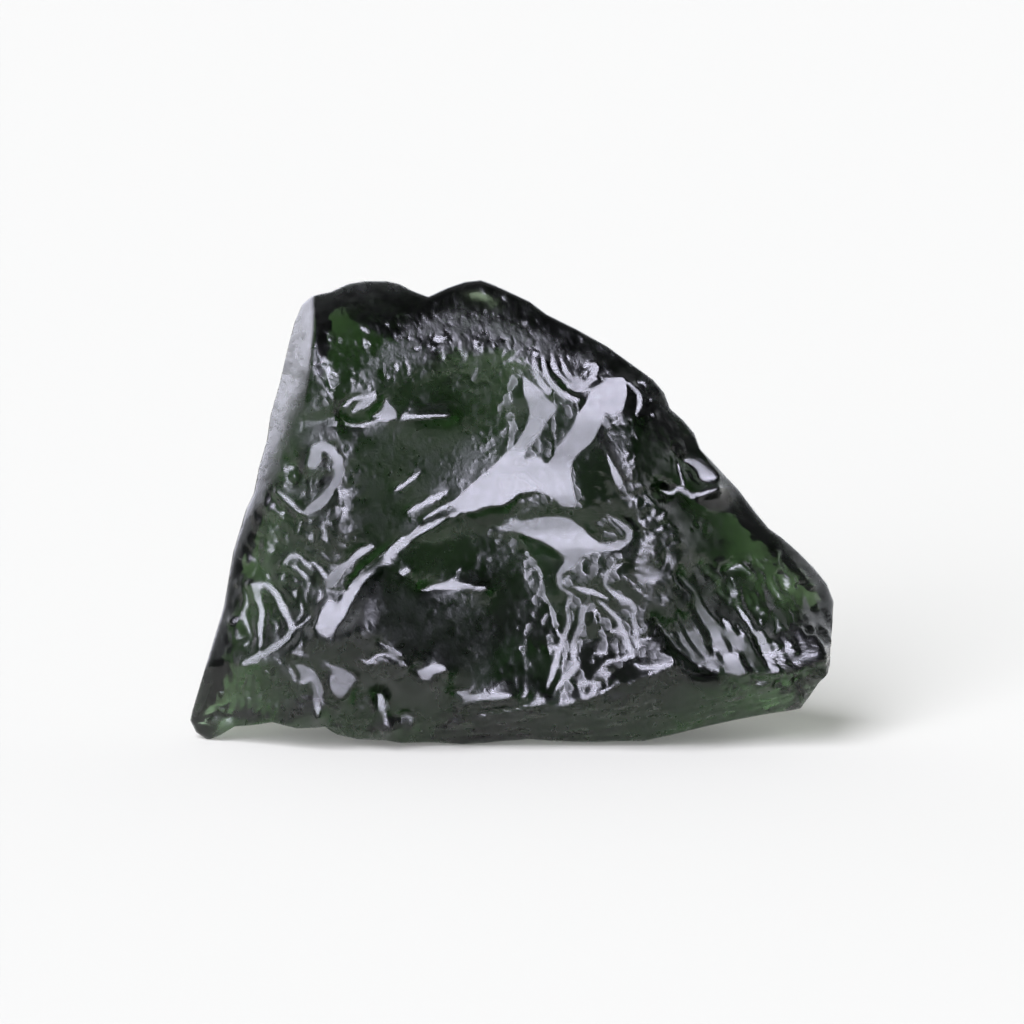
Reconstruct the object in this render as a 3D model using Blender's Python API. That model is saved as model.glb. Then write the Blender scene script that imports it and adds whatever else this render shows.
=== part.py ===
"""Raw moldavite: one broken chunk of dark green natural glass.

The stone is drawn face-on on a 0.05 mm grid. u runs to the right, v runs down,
and h stands out of the drawing towards the viewer. The drawing leans back by
LEAN degrees, so that the stone then stands on its own flat spot at z = 0.
"""

import math

import bmesh
import bpy
import numpy as np

GRID = 0.00005          # one drawing unit, metres
LEAN = math.radians(10.0)
MID_U = 512.0           # drawing u that lies at x = 0
BASE_V = 743.0          # drawing v of the lowest front edge
FLOOR = 6.5             # height of the flat spot over BASE_V at h = 0
SHIFT_X = 0.0000206     # metres, brings the box's middle to x = 0
SHIFT_Y = -0.0009089    # metres, brings the box's middle to y = 0
CORE = (505.0, 545.0, -38.0)   # a point well inside the stone: u, v, h
FINENESS = 7            # subdivisions of the blank
KEEP = 0.075            # share of the blank's triangles kept after thinning
RIM_H = 70.0            # height of the outline's rim over the drawing plane

# Corners of the broken outline, clockwise from the left foot: u, v.
OUTLINE = [
    (189, 721), (191, 712), (206, 664), (223, 607), (232, 553), (245, 510),
    (253, 494), (258, 468), (266, 440), (269, 416), (278, 384), (288, 340),
    (293, 321), (301, 303), (312, 295), (330, 291), (347, 283), (364, 280),
    (386, 280), (399, 283), (412, 290), (428, 296), (447, 287), (464, 281),
    (481, 279), (494, 284), (505, 289), (530, 301), (547, 314), (577, 329),
    (607, 346), (637, 368), (653, 380), (664, 393), (670, 409), (683, 420),
    (694, 433), (700, 449), (718, 468), (739, 490), (755, 511), (769, 528),
    (783, 538), (799, 552), (815, 568), (828, 584), (835, 602), (832, 634),
    (829, 665), (827, 674), (819, 682), (810, 696), (801, 709), (790, 711),
    (768, 714), (734, 720), (701, 727), (670, 735), (643, 741), (616, 741),
    (589, 742), (558, 741), (529, 739), (500, 741), (483, 743), (462, 744),
    (429, 742), (401, 743), (386, 740), (358, 739), (336, 734), (325, 726),
    (319, 727), (297, 728), (273, 722), (254, 725), (234, 727), (219, 736),
    (207, 741), (195, 733),
]

# The same outline with only its main corners, for the depth of the stone.
COARSE = [
    (190, 722), (232, 553), (290, 330), (305, 300), (360, 281), (484, 281),
    (560, 322), (655, 383), (704, 452), (835, 597), (829, 672), (801, 709),
    (690, 733), (470, 744), (330, 735), (205, 742),
]

# Flat faces of the front: u, v, h of a point on each, then its two slopes.
UPPER_LEFT = (317, 303, 40, -0.08, 0.60)
LEFT_EDGE = (317, 303, 40, 2.52, 0.83)
CREST = (560, 345, 72, -0.45, 1.25)
CREST_LEFT = (480, 325, 60, 0.05, 1.00)
RIGHT = (620, 400, 95, -0.75, 0.377)
LEFT = (320, 560, 92, 0.75, 0.00)
FOOT = (245, 676, 60, 0.55, -0.28)
UNDER = (600, 690, 108, 0.00, -1.25)
UNDER_RIGHT = (690, 675, 130, -0.62, -1.25)

# Flat faces of the back, with the depth behind the drawing in place of h.
BACK_LEFT = (440, 520, 112, 0.42, 0.06)
BACK_RIGHT = (540, 520, 128, -0.40, 0.12)
BACK_TOP = (470, 380, 80, -0.10, 0.80)
BACK_TOP_RIGHT = (640, 430, 64, -0.50, 0.62)
BACK_UNDER = (520, 660, 120, 0.05, -0.75)

# Shell-shaped scoops of the back: centre u, v, depth, then radius.
BACK_SCOOPS = [
    (655, 560, 452, 372),
    (330, 600, 395, 322),
    (505, 372, 348, 262),
]


def plane(face, u, v):
    u0, v0, h0, su, sv = face
    return h0 + su * (u - u0) + sv * (v - v0)


def soft_min(a, b, r):
    """The lower of two surfaces, with their edge rounded over a width of about r."""
    t = np.clip(0.5 + 0.5 * (b - a) / r, 0.0, 1.0)
    return b + (a - b) * t - r * t * (1.0 - t)


def soft_max(a, b, r):
    return -soft_min(-a, -b, r)


def ease(x, low, high):
    t = np.clip((x - low) / (high - low), 0.0, 1.0)
    return t * t * (3.0 - 2.0 * t)


def outline_distance(u, v, corners):
    """Distance to a closed outline, negative inside it."""
    best = np.full(u.shape, 1e9)
    inside = np.zeros(u.shape, bool)
    count = len(corners)
    for i in range(count):
        ax, ay = corners[i]
        bx, by = corners[(i + 1) % count]
        ex, ey = bx - ax, by - ay
        t = np.clip(((u - ax) * ex + (v - ay) * ey) / (ex * ex + ey * ey), 0.0, 1.0)
        best = np.minimum(best, np.hypot(u - ax - t * ex, v - ay - t * ey))
        if ay != by:
            inside ^= ((ay > v) != (by > v)) & (u < ex * (v - ay) / ey + ax)
    return np.where(inside, -best, best)


def dish(u, v):
    """The great front scoop: falls from the left, flattens, then climbs to the right ridge."""
    s = u - 50.0 * ease(v, 500.0, 650.0) - 478.0
    left = np.minimum(s, 0.0)
    right = np.maximum(s, 0.0)
    across = 0.0042 * left ** 2 / (1.0 + 0.002 * np.abs(left)) + 0.0034 * right ** 2 / (1.0 + 0.0016 * right)
    return 50.0 + across + 0.0006 * (v - 440.0) ** 2


def front(u, v):
    h = soft_min(plane(UPPER_LEFT, u, v), plane(LEFT_EDGE, u, v), 3.0)
    h = soft_min(h, soft_min(plane(CREST, u, v), plane(CREST_LEFT, u, v), 14.0), 8.0)
    h = soft_min(h, dish(u, v), 5.0)
    right = plane(RIGHT, u, v) - 9.0 * np.exp(-((u - 735.0) / 60.0) ** 2 - ((v - 575.0) / 70.0) ** 2)
    h = soft_min(h, right, 6.0)
    left = plane(LEFT, u, v) + 0.62 * np.maximum(v - 610.0, 0.0)
    h = soft_min(h, left, 8.0)
    h = soft_min(h, plane(FOOT, u, v), 5.0)
    under = soft_min(plane(UNDER, u, v), plane(UNDER_RIGHT, u, v), 10.0)
    return soft_min(h, under, 5.0)


def back(u, v):
    k = soft_min(plane(BACK_LEFT, u, v), plane(BACK_RIGHT, u, v), 10.0)
    k = soft_min(k, plane(BACK_TOP, u, v), 10.0)
    k = soft_min(k, plane(BACK_TOP_RIGHT, u, v), 10.0)
    return soft_min(k, plane(BACK_UNDER, u, v), 8.0)


def outside(u, v, h):
    """Negative inside the stone, positive outside it."""
    face = front(u, v)
    rim = soft_min(RIM_H + 22.0 * ease(v, 640.0, 735.0), face - 3.0, 6.0)
    away = h - rim
    low = ease(v, 640.0, 725.0) * (1.0 - ease(u, 640.0, 780.0)) * ease(u, 230.0, 330.0)
    taper = np.where(away < 0.0, 0.34 - 0.25 * low, 0.16)
    fade = ease(np.abs(away), 10.0, 110.0)
    side = (1.0 - fade) * outline_distance(u, v, OUTLINE) + fade * outline_distance(u, v, COARSE)
    side = side + taper * np.abs(away)
    f = soft_max(side, (h - face) * 0.75, 4.0)
    f = soft_max(f, (-h - back(u, v)) * 0.85, 8.0)
    for cu, cv, ck, radius in BACK_SCOOPS:
        scoop = radius - np.sqrt((u - cu) ** 2 + (v - cv) ** 2 + (-h - ck) ** 2)
        f = soft_max(f, scoop, 5.0)
    return f


def reach(directions):
    """How far the stone goes from its core along each direction."""
    near = np.zeros(len(directions))
    far = np.full(len(directions), 520.0)
    for _ in range(20):
        middle = 0.5 * (near + far)
        u, v, h = (CORE[i] + middle * directions[:, i] for i in range(3))
        out = outside(u, v, h) > 0.0
        far = np.where(out, middle, far)
        near = np.where(out, near, middle)
    return 0.5 * (near + far)


def to_world(u, v, h):
    w = BASE_V - v
    x = (u - MID_U) * GRID + SHIFT_X
    y = (w * math.sin(LEAN) - h * math.cos(LEAN)) * GRID + SHIFT_Y
    z = (w * math.cos(LEAN) + h * math.sin(LEAN) - FLOOR * math.cos(LEAN)) * GRID
    return np.stack([x, y, z], axis=1)


def glass_material():
    material = bpy.data.materials.new("moldavite_glass")
    material.use_nodes = True
    shader = material.node_tree.nodes["Principled BSDF"]
    shader.inputs["Base Color"].default_value = (0.045, 0.085, 0.035, 1.0)
    shader.inputs["Roughness"].default_value = 0.12
    shader.inputs["Metallic"].default_value = 0.0
    shader.inputs["IOR"].default_value = 1.49
    shader.inputs["Transmission Weight"].default_value = 0.6
    return material


def thinned(mesh, share):
    """The mesh with fewer triangles, kept where the surface bends."""
    scratch = bpy.data.objects.new("blank", mesh)
    bpy.context.scene.collection.objects.link(scratch)
    thin = scratch.modifiers.new("thin", "DECIMATE")
    thin.ratio = share
    bpy.context.view_layer.update()
    kept = bpy.data.meshes.new_from_object(
        scratch.evaluated_get(bpy.context.evaluated_depsgraph_get())
    )
    bpy.data.objects.remove(scratch)
    return kept


def stone():
    blank = bmesh.new()
    bmesh.ops.create_icosphere(blank, subdivisions=FINENESS, radius=1.0)
    directions = np.array([(p.co.x, -p.co.z, -p.co.y) for p in blank.verts])
    directions /= np.linalg.norm(directions, axis=1)[:, None]
    far = reach(directions)
    points = to_world(*(CORE[i] + far * directions[:, i] for i in range(3)))
    for vertex, point in zip(blank.verts, points):
        vertex.co = point
    bmesh.ops.recalc_face_normals(blank, faces=blank.faces)
    mesh = bpy.data.meshes.new("rough")
    blank.to_mesh(mesh)
    blank.free()

    body = bmesh.new()
    body.from_mesh(thinned(mesh, KEEP))
    # The flat spot it stands on.
    cut = bmesh.ops.bisect_plane(
        body, geom=body.verts[:] + body.edges[:] + body.faces[:],
        plane_co=(0.0, 0.0, 0.0), plane_no=(0.0, 0.0, 1.0), clear_inner=True, dist=1e-7,
    )
    edges = [e for e in cut["geom_cut"] if isinstance(e, bmesh.types.BMEdge)]
    bmesh.ops.holes_fill(body, edges=edges, sides=0)
    bmesh.ops.triangulate(body, faces=[f for f in body.faces if len(f.verts) > 3])
    bmesh.ops.recalc_face_normals(body, faces=body.faces)
    final = bpy.data.meshes.new("moldavite")
    body.to_mesh(final)
    body.free()
    final.shade_smooth()
    final.set_sharp_from_angle(angle=math.radians(32.0))
    final.materials.append(glass_material())
    return final


def main():
    for item in list(bpy.data.objects):
        bpy.data.objects.remove(item)
    moldavite = bpy.data.objects.new("moldavite", stone())
    bpy.context.scene.collection.objects.link(moldavite)


main()
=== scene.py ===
"""Looks of a raw moldavite: one broken chunk of clear dark green glass on a pale floor.

The stone is drawn face-on on a 0.05 mm grid. u runs to the right, v runs down,
and h stands out of the drawing towards the viewer. The drawing leans back by
LEAN degrees, as the CAD solid does.
"""

import math

import bpy
import numpy as np
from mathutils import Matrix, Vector


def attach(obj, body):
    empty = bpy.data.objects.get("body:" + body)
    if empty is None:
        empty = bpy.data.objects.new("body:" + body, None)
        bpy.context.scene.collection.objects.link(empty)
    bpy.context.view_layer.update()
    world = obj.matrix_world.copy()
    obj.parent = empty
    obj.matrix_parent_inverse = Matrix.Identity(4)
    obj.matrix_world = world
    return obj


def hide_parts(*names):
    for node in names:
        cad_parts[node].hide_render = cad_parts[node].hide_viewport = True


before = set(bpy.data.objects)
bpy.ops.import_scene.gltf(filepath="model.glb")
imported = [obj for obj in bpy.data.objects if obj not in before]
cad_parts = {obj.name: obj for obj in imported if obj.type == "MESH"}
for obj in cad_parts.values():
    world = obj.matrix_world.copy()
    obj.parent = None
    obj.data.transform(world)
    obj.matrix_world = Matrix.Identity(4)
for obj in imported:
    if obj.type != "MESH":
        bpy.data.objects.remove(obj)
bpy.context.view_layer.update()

# ---------------------------------------------------------------- the stone's form
GRID = 0.00005
LEAN = math.radians(10.0)
MID_U = 512.0
BASE_V = 743.0
FLOOR = 6.5
SHIFT_X = 0.0000206
SHIFT_Y = -0.0009089
PROUD = 0.035           # how much further the front stands out than drawn
RIM_H = 70.0

OUTLINE = [
    (189, 721), (191, 712), (206, 664), (223, 607), (232, 553), (245, 510),
    (253, 494), (258, 468), (266, 440), (269, 416), (278, 384), (288, 340),
    (293, 321), (301, 303), (312, 295), (330, 291), (347, 283), (364, 280),
    (386, 280), (399, 283), (412, 290), (428, 296), (447, 287), (464, 281),
    (481, 279), (494, 284), (505, 289), (530, 301), (547, 314), (577, 329),
    (607, 346), (637, 368), (653, 380), (664, 393), (670, 409), (683, 420),
    (694, 433), (700, 449), (718, 468), (739, 490), (755, 511), (769, 528),
    (783, 538), (799, 552), (815, 568), (828, 584), (835, 602), (832, 634),
    (829, 665), (827, 674), (819, 682), (810, 696), (801, 709), (790, 711),
    (768, 714), (734, 720), (701, 727), (670, 735), (643, 741), (616, 741),
    (589, 742), (558, 741), (529, 739), (500, 741), (483, 743), (462, 744),
    (429, 742), (401, 743), (386, 740), (358, 739), (336, 734), (325, 726),
    (319, 727), (297, 728), (273, 722), (254, 725), (234, 727), (219, 736),
    (207, 741), (195, 733),
]
COARSE = [
    (190, 722), (232, 553), (290, 330), (305, 300), (360, 281), (484, 281),
    (560, 322), (655, 383), (704, 452), (835, 597), (829, 672), (801, 709),
    (690, 733), (470, 744), (330, 735), (205, 742),
]
# The four corners of the outline that the mesh's rows and columns run between.
CORNERS = [(301, 303), (653, 380), (819, 682), (195, 733)]

UPPER_LEFT = (317, 303, 40, -0.08, 0.60)
LEFT_EDGE = (317, 303, 40, 2.52, 0.83)
CREST = (560, 345, 72, -0.45, 1.25)
CREST_LEFT = (480, 325, 60, 0.05, 1.00)
RIGHT = (620, 400, 95, -0.75, 0.377)
LEFT = (320, 560, 92, 0.75, 0.00)
FOOT = (245, 676, 60, 0.55, -0.28)
UNDER = (600, 690, 108, 0.00, -1.08)
UNDER_RIGHT = (690, 675, 130, -0.62, -1.08)
BACK_LEFT = (440, 520, 112, 0.42, 0.06)
BACK_RIGHT = (540, 520, 128, -0.40, 0.12)
BACK_TOP = (470, 380, 80, -0.10, 0.80)
BACK_TOP_RIGHT = (640, 430, 64, -0.50, 0.62)
BACK_UNDER = (520, 660, 120, 0.05, -0.75)
BACK_SCOOPS = [
    (655, 560, 452, 372),
    (330, 600, 395, 322),
    (505, 372, 348, 262),
]

# Faces of the broken front that turn to the key light: the corners of each.
FACES = [
    # great sheet of the scoop, its left branch, then its right branch
    [(522, 376), (528, 380), (537, 388), (551, 402), (556, 410), (546, 423), (536, 440),
     (527, 449), (525, 459), (539, 456), (546, 464), (556, 449), (567, 435), (576, 417),
     (581, 408), (590, 394), (598, 386), (607, 381), (619, 376), (625, 383), (626, 397),
     (621, 411), (612, 416), (604, 411), (603, 421), (593, 440), (581, 451), (573, 459),
     (572, 482), (576, 505), (563, 508), (551, 497), (539, 492), (522, 494), (508, 503),
     (494, 505), (480, 508), (462, 510), (452, 505), (462, 493), (479, 478), (501, 458), (519, 438),
     (529, 412), (523, 393)],
    # winged sheet under it
    [(494, 526), (515, 521), (546, 515), (567, 516), (579, 525), (591, 537), (605, 545),
     (619, 541), (625, 534), (617, 525), (606, 514), (621, 520), (632, 530), (631, 540),
     (619, 549), (603, 551), (582, 556), (577, 565), (564, 574), (562, 584), (565, 590),
     (559, 589), (555, 580), (555, 573), (563, 562), (560, 553), (546, 544), (522, 534),
     (506, 531)],
    # foot of the great arc
    [(314, 627), (321, 610), (331, 599), (341, 608), (346, 612), (337, 630), (330, 636), (319, 632)],
    # blades beside the arc
    [(326, 590), (330, 575), (344, 562), (363, 545), (376, 547), (361, 558), (346, 571), (337, 585)],
    # small faces low on the left
    [(301, 661), (308, 664), (317, 670), (325, 688), (322, 700), (321, 716), (316, 714), (314, 690),
     (309, 677), (304, 684), (300, 672)],
    [(327, 661), (341, 664), (358, 675), (354, 686), (343, 699), (336, 695), (329, 682), (334, 671)],
    [(376, 692), (384, 693), (386, 710), (391, 723), (397, 727), (384, 730), (383, 714), (377, 706)],
    [(413, 666), (425, 666), (440, 661), (449, 669), (442, 672), (432, 675), (430, 683), (421, 676)],
    [(451, 689), (472, 686), (468, 693), (484, 692), (513, 694), (501, 700), (473, 702), (455, 711),
     (462, 703), (464, 697)],
    # right rim and inner slope of the small shell chip
    [(384, 397), (389, 404), (397, 413), (394, 420), (375, 421), (372, 415), (381, 409)],
    [(358, 402), (378, 396), (371, 407), (352, 412)],
    # inside of the left curl
    [(305, 465), (309, 456), (318, 450), (323, 460), (313, 470)],
    # shell patch high on the right face
    [(685, 430), (690, 438), (697, 449), (706, 462), (718, 477), (702, 481), (692, 466), (681, 459),
     (690, 455), (686, 443)],
    # blade of the ridge beside the window
    [(603, 448), (611, 462), (622, 482), (618, 489), (611, 475)],
    [(752, 675), (760, 679), (770, 677), (768, 684), (757, 685)],
    [(778, 575), (786, 573), (793, 579), (791, 590), (783, 589)],
]

# Lips and wave crests that turn to the key light: width, then the points each runs through.
LIPS = [
    (10.5, [(336, 622), (343, 610), (353, 591), (364, 575), (375, 565)]),
    (9.5, [(375, 565), (386, 556), (398, 546), (410, 537)]),
    (8.0, [(410, 537), (421, 530), (432, 524), (445, 518)]),
    (6.5, [(445, 518), (458, 512), (471, 508), (485, 505)]),
    (5.0, [(485, 505), (497, 503), (508, 502)]),
    (9.0, [(312, 450), (322, 447), (331, 449), (338, 458), (340, 468), (338, 480), (332, 490)]),
    (10.0, [(332, 490), (326, 498), (318, 505), (306, 512)]),
    (6.0, [(306, 512), (297, 509), (288, 500), (278, 492)]),
    (5.0, [(284, 470), (297, 466)]),
    (4.5, [(397, 418), (420, 417), (449, 415)]),
    (3.6, [(340, 416), (348, 424), (362, 425), (376, 421)]),
    (3.6, [(341, 408), (350, 401), (364, 397), (380, 395)]),
    (4.5, [(393, 490), (406, 483), (421, 472)]),
    (5.5, [(408, 511), (426, 502), (447, 492)]),
    (4.5, [(423, 520), (440, 509), (453, 502)]),
    (5.5, [(421, 590), (440, 586), (462, 586), (487, 589)]),
    (4.0, [(398, 571), (411, 571)]),
    (5.0, [(282, 564), (290, 557), (299, 556), (306, 562), (312, 568)]),
    (4.5, [(314, 561), (322, 570), (329, 582)]),
    (4.5, [(288, 566), (296, 567), (303, 573), (309, 579)]),
    (7.0, [(250, 584), (258, 586), (266, 584)]),
    (6.5, [(252, 586), (258, 599), (262, 614), (260, 632), (261, 648)]),
    (8.0, [(266, 585), (276, 593), (284, 610), (290, 621), (293, 630)]),
    (6.5, [(293, 630), (284, 641), (272, 649), (266, 654)]),
    (8.0, [(268, 650), (258, 656), (251, 660), (243, 663)]),
    (4.5, [(243, 588), (247, 600), (243, 613), (248, 627), (254, 637)]),
    (4.5, [(231, 621), (243, 616)]),
    (4.0, [(308, 608), (310, 617), (302, 624), (295, 628)]),
    (4.0, [(301, 604), (303, 612), (297, 620)]),
    (4.5, [(228, 650), (230, 660)]),
    (4.0, [(288, 661), (293, 672), (297, 680)]),
    (4.0, [(294, 658), (299, 668)]),
    (4.5, [(210, 720), (221, 719), (232, 717)]),
    (4.0, [(380, 640), (391, 647), (402, 654)]),
    (4.5, [(384, 651), (398, 658), (411, 667)]),
    (4.0, [(358, 656), (368, 660), (378, 661)]),
    (4.0, [(384, 651), (376, 655), (370, 659)]),
    (4.5, [(401, 724), (402, 716), (408, 714), (412, 720), (410, 727)]),
    (4.0, [(453, 712), (454, 721), (460, 723)]),
    (4.0, [(475, 714), (497, 710), (520, 707), (545, 700)]),
    (4.5, [(551, 356), (553, 366), (559, 376), (568, 385), (580, 390), (591, 390)]),
    (4.5, [(542, 358), (544, 369), (549, 380), (557, 390), (567, 397), (579, 400)]),
    (4.5, [(533, 361), (536, 373), (542, 385), (551, 395)]),
    (4.0, [(560, 358), (563, 367), (569, 376), (577, 382), (586, 384), (595, 380)]),
    (4.0, [(583, 371), (586, 365), (592, 364), (596, 369), (592, 375), (597, 380)]),
    (4.5, [(627, 383), (634, 389), (639, 398), (639, 407), (635, 414)]),
    (4.5, [(659, 489), (668, 493), (678, 489), (692, 495), (706, 492), (718, 488)]),
    (4.0, [(676, 463), (679, 474), (682, 485)]),
    (4.4, [(564, 588), (571, 595), (566, 607), (568, 621), (563, 638), (558, 652), (553, 668), (547, 688)]),
    (3.4, [(546, 646), (558, 648)]),
    (5.6, [(589, 603), (582, 612), (580, 626), (575, 640), (573, 656), (575, 666), (563, 678), (555, 688)]),
    (4.4, [(622, 562), (609, 571), (605, 584), (616, 595), (630, 602), (635, 610), (631, 616)]),
    (3.6, [(631, 612), (635, 626), (637, 643), (638, 655)]),
    (3.6, [(598, 600), (611, 612), (619, 622), (626, 638), (632, 657)]),
    (3.4, [(570, 586), (593, 592), (608, 598)]),
    (3.4, [(610, 631), (623, 629)]),
    (3.4, [(591, 652), (608, 653)]),
    (3.6, [(633, 656), (618, 659), (605, 662), (600, 669), (593, 676)]),
    (3.6, [(600, 672), (611, 673)]),
    (3.6, [(631, 661), (641, 666), (655, 666), (669, 663)]),
    (3.4, [(576, 683), (596, 683), (585, 697), (576, 684)]),
    (4.7, [(677, 574), (692, 591), (704, 612), (725, 634), (744, 655)]),
    (5.9, [(692, 600), (706, 624), (725, 650), (737, 670)]),
    (5.3, [(689, 630), (703, 649), (714, 663)]),
    (6.4, [(722, 618), (735, 638), (752, 661)]),
    (5.3, [(735, 605), (746, 620), (754, 637)]),
    (7.0, [(703, 652), (711, 659), (718, 665)]),
    (7.0, [(724, 664), (732, 670), (738, 676)]),
    (6.4, [(760, 664), (768, 671), (776, 673)]),
    (6.4, [(780, 664), (787, 670), (794, 672)]),
    (5.3, [(758, 634), (766, 651), (773, 666)]),
    (5.3, [(772, 640), (780, 655), (786, 667)]),
    (5.3, [(787, 640), (794, 655), (800, 668)]),
    (5.3, [(801, 644), (807, 656), (813, 667)]),
    (4.7, [(812, 634), (818, 646), (822, 660)]),
    (4.7, [(795, 627), (801, 636)]),
    (4.7, [(806, 624), (812, 632)]),
    (5.3, [(782, 557), (792, 568), (804, 580)]),
    (4.7, [(767, 574), (772, 588), (784, 600)]),
    (4.7, [(723, 572), (732, 567), (742, 568), (751, 574)]),
]

# Broken ground, full of small chips: its corners, how many, their least and greatest length, width,
# the way they run in degrees below level, how far that wanders, and the seed.
GRIT = [
    ([(292, 452), (345, 450), (352, 520), (330, 590), (300, 655), (240, 662), (222, 640), (238, 560),
      (258, 500)], 230, 4, 17, 3.2, 75, 55, 3),
    ([(352, 404), (395, 362), (428, 338), (470, 334), (540, 354), (530, 374), (480, 356), (430, 368),
      (392, 396)], 110, 2, 6, 2.8, 20, 60, 5),
    ([(612, 440), (640, 490), (668, 530), (690, 600), (704, 655), (672, 655), (655, 590), (628, 585),
      (640, 540), (622, 470)], 190, 6, 15, 3.2, 25, 70, 7),
    ([(700, 560), (780, 548), (830, 610), (825, 672), (716, 672), (690, 610)], 110, 8, 30, 3.6, 62, 16, 11),
    ([(300, 655), (352, 660), (368, 700), (420, 726), (330, 726), (296, 700)], 45, 4, 12, 3.2, 70, 50, 13),
    ([(450, 690), (640, 688), (640, 712), (450, 716)], 40, 4, 16, 3.0, -6, 20, 17),
    ([(335, 296), (398, 294), (380, 345), (335, 350)], 9, 2, 9, 2.6, 5, 15, 19),
    ([(680, 428), (720, 470), (700, 492), (660, 486)], 22, 3, 10, 3.0, 55, 40, 23),
    ([(590, 360), (662, 392), (650, 420), (600, 405)], 30, 3, 8, 3.0, 40, 60, 29),
    ([(345, 380), (520, 330), (640, 380), (640, 560), (560, 690), (380, 690), (345, 560)],
     330, 1, 2, 2.4, 0, 90, 31),
    ([(240, 560), (300, 440), (345, 380), (345, 690), (215, 710)], 90, 1, 2, 2.4, 0, 90, 37),
    ([(640, 400), (830, 600), (820, 690), (660, 700)], 110, 1, 2, 2.4, 0, 90, 41),
]

# How matt the front is: corners of each patch, then how matt it is, from polished 0 to frosted 1.
MATT = [
    ([(189, 279), (835, 279), (835, 744), (189, 744)], 0.45),
    ([(300, 300), (430, 285), (505, 280), (664, 393), (600, 360), (540, 330), (470, 312), (420, 322),
      (385, 350), (345, 400), (318, 400)], 0.15),
    ([(345, 400), (385, 352), (424, 322), (470, 316), (548, 345), (530, 374), (480, 350), (430, 362),
      (392, 395)], 0.85),
    ([(350, 425), (395, 425), (480, 430), (500, 460), (430, 520), (380, 540), (350, 540)], 0.80),
    ([(400, 380), (520, 380), (520, 430), (400, 425)], 0.34),
    ([(365, 600), (400, 580), (480, 590), (490, 680), (430, 660), (370, 640)], 0.66),
    ([(490, 560), (550, 560), (548, 690), (490, 680)], 0.22),
    ([(545, 558), (632, 556), (648, 690), (542, 694)], 0.10),
    ([(496, 366), (545, 366), (530, 450), (496, 480)], 0.20),
    ([(430, 515), (500, 510), (545, 545), (555, 590), (420, 585), (380, 575)], 0.32),
    ([(575, 425), (600, 440), (632, 520), (620, 540), (590, 535), (574, 500)], 0.04),
    ([(628, 410), (665, 410), (740, 500), (790, 560), (760, 570), (700, 560), (680, 540), (640, 470)], 0.10),
    ([(690, 665), (770, 672), (750, 705), (700, 700)], 0.15),
    ([(440, 700), (560, 704), (690, 700), (830, 668), (818, 712), (640, 746), (400, 746)], 0.60),
    ([(355, 670), (430, 680), (440, 720), (365, 720)], 0.20),
    ([(205, 665), (290, 670), (300, 715), (198, 718)], 0.45),
    ([(222, 490), (262, 490), (240, 640), (222, 716), (186, 722)], 0.08),
    ([(795, 586), (834, 590), (834, 620), (800, 622)], 0.05),
    ([(500, 375), (625, 375), (630, 410), (575, 500), (570, 565), (520, 540), (450, 512), (500, 450)], 0.30),
]

# Hollows between the branches of the great sheet, turned away from the key light.
GAPS = [
    [(551, 421), (560, 411), (575, 414), (573, 424), (567, 435), (556, 449), (546, 463), (539, 457),
     (525, 459), (527, 450), (537, 440)],
]

# The slopes (across, down) that mirror the key light: the middle line of that band and its half width.
KEY_FROM, KEY_TO, KEY_HALF = (0.22, -0.02), (0.24, 0.48), 0.12

# Window of the drawing that the relief is worked out in.
U0, V0, NU, NV = 160, 256, 720, 512


def plane(face, u, v):
    u0, v0, h0, su, sv = face
    return h0 + su * (u - u0) + sv * (v - v0)


def soft_min(a, b, r):
    t = np.clip(0.5 + 0.5 * (b - a) / r, 0.0, 1.0)
    return b + (a - b) * t - r * t * (1.0 - t)


def soft_max(a, b, r):
    return -soft_min(-a, -b, r)


def ease(x, low, high):
    t = np.clip((x - low) / (high - low), 0.0, 1.0)
    return t * t * (3.0 - 2.0 * t)


def in_polygon(u, v, corners):
    inside = np.zeros(u.shape, bool)
    for (ax, ay), (bx, by) in zip(corners, corners[1:] + corners[:1]):
        if ay != by:
            inside ^= ((ay > v) != (by > v)) & (u < (bx - ax) * (v - ay) / (by - ay) + ax)
    return inside


def path_distance(u, v, path):
    best = np.full(u.shape, 1e9)
    for (ax, ay), (bx, by) in zip(path[:-1], path[1:]):
        ex, ey = bx - ax, by - ay
        t = np.clip(((u - ax) * ex + (v - ay) * ey) / (ex * ex + ey * ey + 1e-12), 0.0, 1.0)
        best = np.minimum(best, np.hypot(u - ax - t * ex, v - ay - t * ey))
    return best


def outline_distance(u, v, corners):
    d = path_distance(u, v, corners + corners[:1])
    return np.where(in_polygon(u, v, corners), -d, d)


def smooth_path(points, step=2.0):
    """Points along a smooth curve through the given ones."""
    p = np.array(points, float)
    if len(p) < 3:
        n = max(2, int(np.hypot(*(p[-1] - p[0])) / step))
        return p[0] + (p[-1] - p[0]) * np.linspace(0.0, 1.0, n)[:, None]
    q = np.vstack([2 * p[0] - p[1], p, 2 * p[-1] - p[-2]])
    out = []
    for i in range(1, len(q) - 2):
        a, b, c, d = q[i - 1], q[i], q[i + 1], q[i + 2]
        n = max(2, int(np.hypot(*(c - b)) / step))
        t = np.linspace(0.0, 1.0, n, endpoint=False)[:, None]
        out.append(0.5 * (2 * b + (c - a) * t + (2 * a - 5 * b + 4 * c - d) * t ** 2
                          + (3 * b - a - 3 * c + d) * t ** 3))
    out.append(p[-1:])
    return np.vstack(out)


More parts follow.
